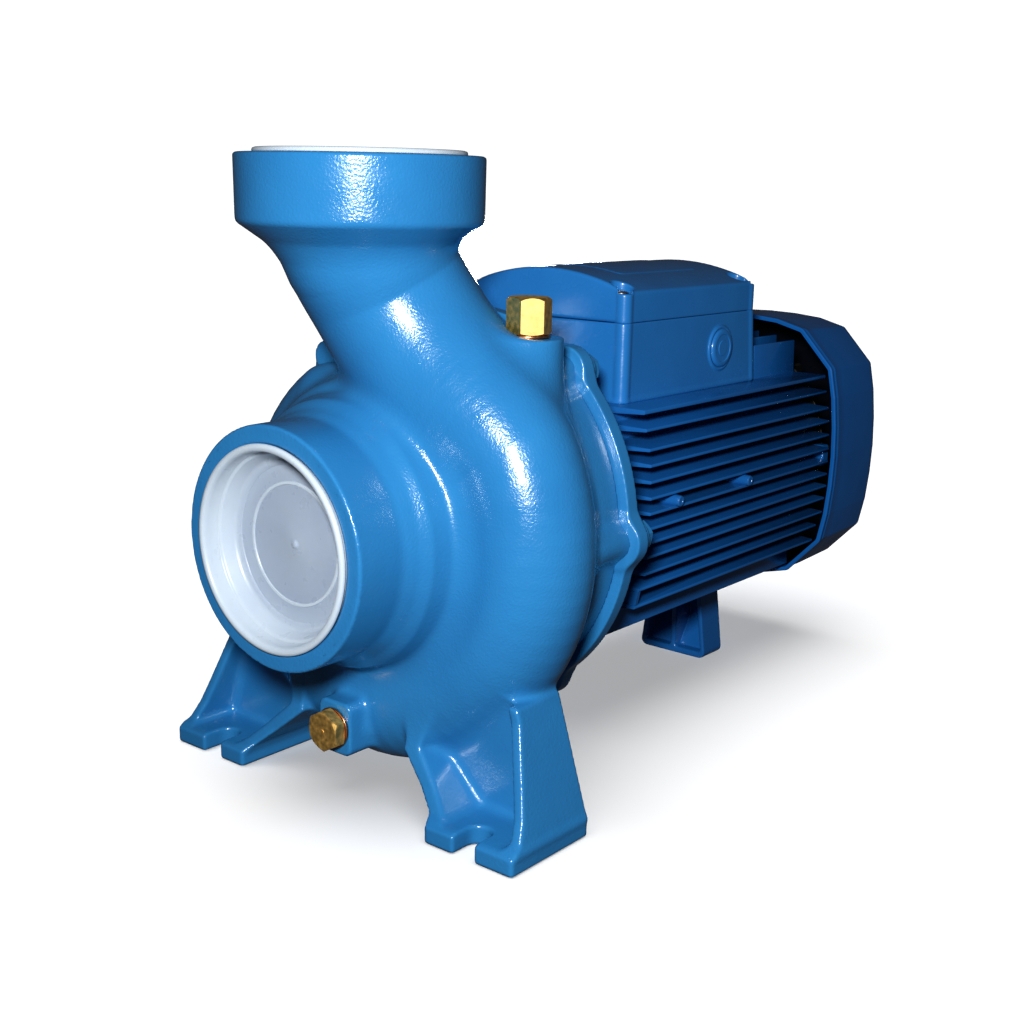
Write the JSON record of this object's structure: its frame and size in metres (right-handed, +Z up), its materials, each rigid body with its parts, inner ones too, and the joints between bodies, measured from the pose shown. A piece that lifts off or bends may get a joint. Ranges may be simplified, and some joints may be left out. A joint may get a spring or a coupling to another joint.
{
  "type": "centrifugal water pump",
  "caption": "Close-coupled centrifugal pump: cast volute with threaded ports and integral feet, finned electric motor, terminal box and fan cover.",
  "frame": {"origin": "centre of the bounding box at the height of the foot soles", "axes": "+Z up, -Y towards the suction port, +Y along the shaft towards the fan, +X towards the side that carries the filler plug"},
  "size_m": [0.278, 0.5386, 0.3701],
  "materials": {
    "cast_paint": "glossy blue enamel over sand-cast iron",
    "aluminium_paint": "blue enamel over die-cast aluminium",
    "sheet_paint": "blue enamel over pressed steel",
    "brass": "turned brass",
    "bronze": "cast bronze",
    "copper": "copper",
    "steel": "machined steel",
    "lamination": "stacked steel laminations",
    "bearing": "ground and polished",
    "white_plastic": "translucent white polyethylene",
    "black_plastic": "moulded black plastic",
    "rubber": "black rubber",
    "ceramic": "lapped ceramic",
    "shield": "bare die-cast aluminium"
  },
  "bodies": {
    "pump_body": {"volute_casing": "cast_paint", "motor_bracket": "cast_paint", "motor_frame": "aluminium_paint", "fan_cover": "sheet_paint", "terminal_box_base": "aluminium_paint", "knockout_plug": "aluminium_paint", "rear_foot": "aluminium_paint", "seal_stationary_seat": "ceramic", "casing_o_ring": "rubber", "stator_core": "lamination", "stator_winding": "copper", "front_bearing_outer_ring": "bearing", "rear_bearing_outer_ring": "bearing", "rear_end_shield": "shield", "terminal_box_gasket": "rubber", "terminal_board": "black_plastic", "cable_gland_body": "black_plastic", "cable_gland_nut": "black_plastic", "rear_foot_screw_1": "steel", "rear_foot_screw_2": "steel", "casing_bolt_1": "cast_paint", "casing_bolt_2": "cast_paint", "casing_bolt_3": "cast_paint", "casing_bolt_4": "cast_paint", "casing_bolt_5": "cast_paint", "casing_bolt_6": "cast_paint", "tie_rod_1": "steel", "tie_rod_2": "steel", "tie_rod_3": "steel", "tie_rod_4": "steel"},
    "rotor": {"motor_shaft": "steel", "rotor_core": "lamination", "impeller": "bronze", "impeller_key": "steel", "impeller_nut": "steel", "impeller_washer": "steel", "seal_rotating_head": "steel", "water_slinger": "rubber", "front_bearing_inner_ring": "bearing", "rear_bearing_inner_ring": "bearing", "cooling_fan": "black_plastic"},
    "front_ball_set": {"front_bearing_balls": "bearing"},
    "rear_ball_set": {"rear_bearing_balls": "bearing"},
    "filler_washer": {"filler_plug_washer": "copper"},
    "filler_plug": {"filler_plug": "brass"},
    "drain_washer": {"drain_plug_washer": "copper"},
    "drain_plug": {"drain_plug": "brass"},
    "suction_cap": {"suction_port_cap": "white_plastic"},
    "discharge_cap": {"discharge_port_cap": "white_plastic"},
    "lid": {"terminal_box_lid": "aluminium_paint", "lid_screw_1": "steel", "lid_screw_2": "steel", "lid_screw_3": "steel", "lid_screw_4": "steel"}
  },
  "joints": [
    {"name": "rotor_spin", "type": "hinge", "parent": "pump_body", "child": "rotor", "pos_m": [0, -0.0277, 0.16], "axis": [0, 1, 0], "continuous": true},
    {"name": "front_ball_set_spin", "type": "hinge", "parent": "pump_body", "child": "front_ball_set", "pos_m": [0, -0.0577, 0.16], "axis": [0, 1, 0], "continuous": true},
    {"name": "rear_ball_set_spin", "type": "hinge", "parent": "pump_body", "child": "rear_ball_set", "pos_m": [0, 0.1908, 0.16], "axis": [0, 1, 0], "continuous": true},
    {"name": "filler_plug_rise", "type": "slide", "parent": "pump_body", "child": "filler_washer", "axis": [0, 0, 1], "range_m": [0, 0.0175]},
    {"name": "filler_plug_turn", "type": "hinge", "parent": "filler_washer", "child": "filler_plug", "pos_m": [0.078, -0.1467, 0.272], "axis": [0, 0, 1], "range_deg": [0, 3240]},
    {"name": "drain_plug_rise", "type": "slide", "parent": "pump_body", "child": "drain_washer", "axis": [0, -1, 0], "range_m": [0, 0.0135]},
    {"name": "drain_plug_turn", "type": "hinge", "parent": "drain_washer", "child": "drain_plug", "pos_m": [0, -0.2217, 0.0455], "axis": [0, -1, 0], "range_deg": [0, 2520]},
    {"name": "suction_cap_pull", "type": "slide", "parent": "pump_body", "child": "suction_cap", "axis": [0, -1, 0], "range_m": [0, 0.12]},
    {"name": "discharge_cap_pull", "type": "slide", "parent": "pump_body", "child": "discharge_cap", "axis": [0, 0, 1], "range_m": [0, 0.12]},
    {"name": "terminal_box_lid_lift", "type": "slide", "parent": "pump_body", "child": "lid", "axis": [0, 0, 1], "range_m": [0, 0.08]}
  ],
  "couplings": [
    {"joint": "front_ball_set_spin", "follows": "rotor_spin", "ratio": 0.4},
    {"joint": "rear_ball_set_spin", "follows": "rotor_spin", "ratio": 0.4},
    {"joint": "filler_plug_rise", "follows": "filler_plug_turn", "m_per_rad": 0.00028871},
    {"joint": "drain_plug_rise", "follows": "drain_plug_turn", "m_per_rad": 0.00028871}
  ]
}
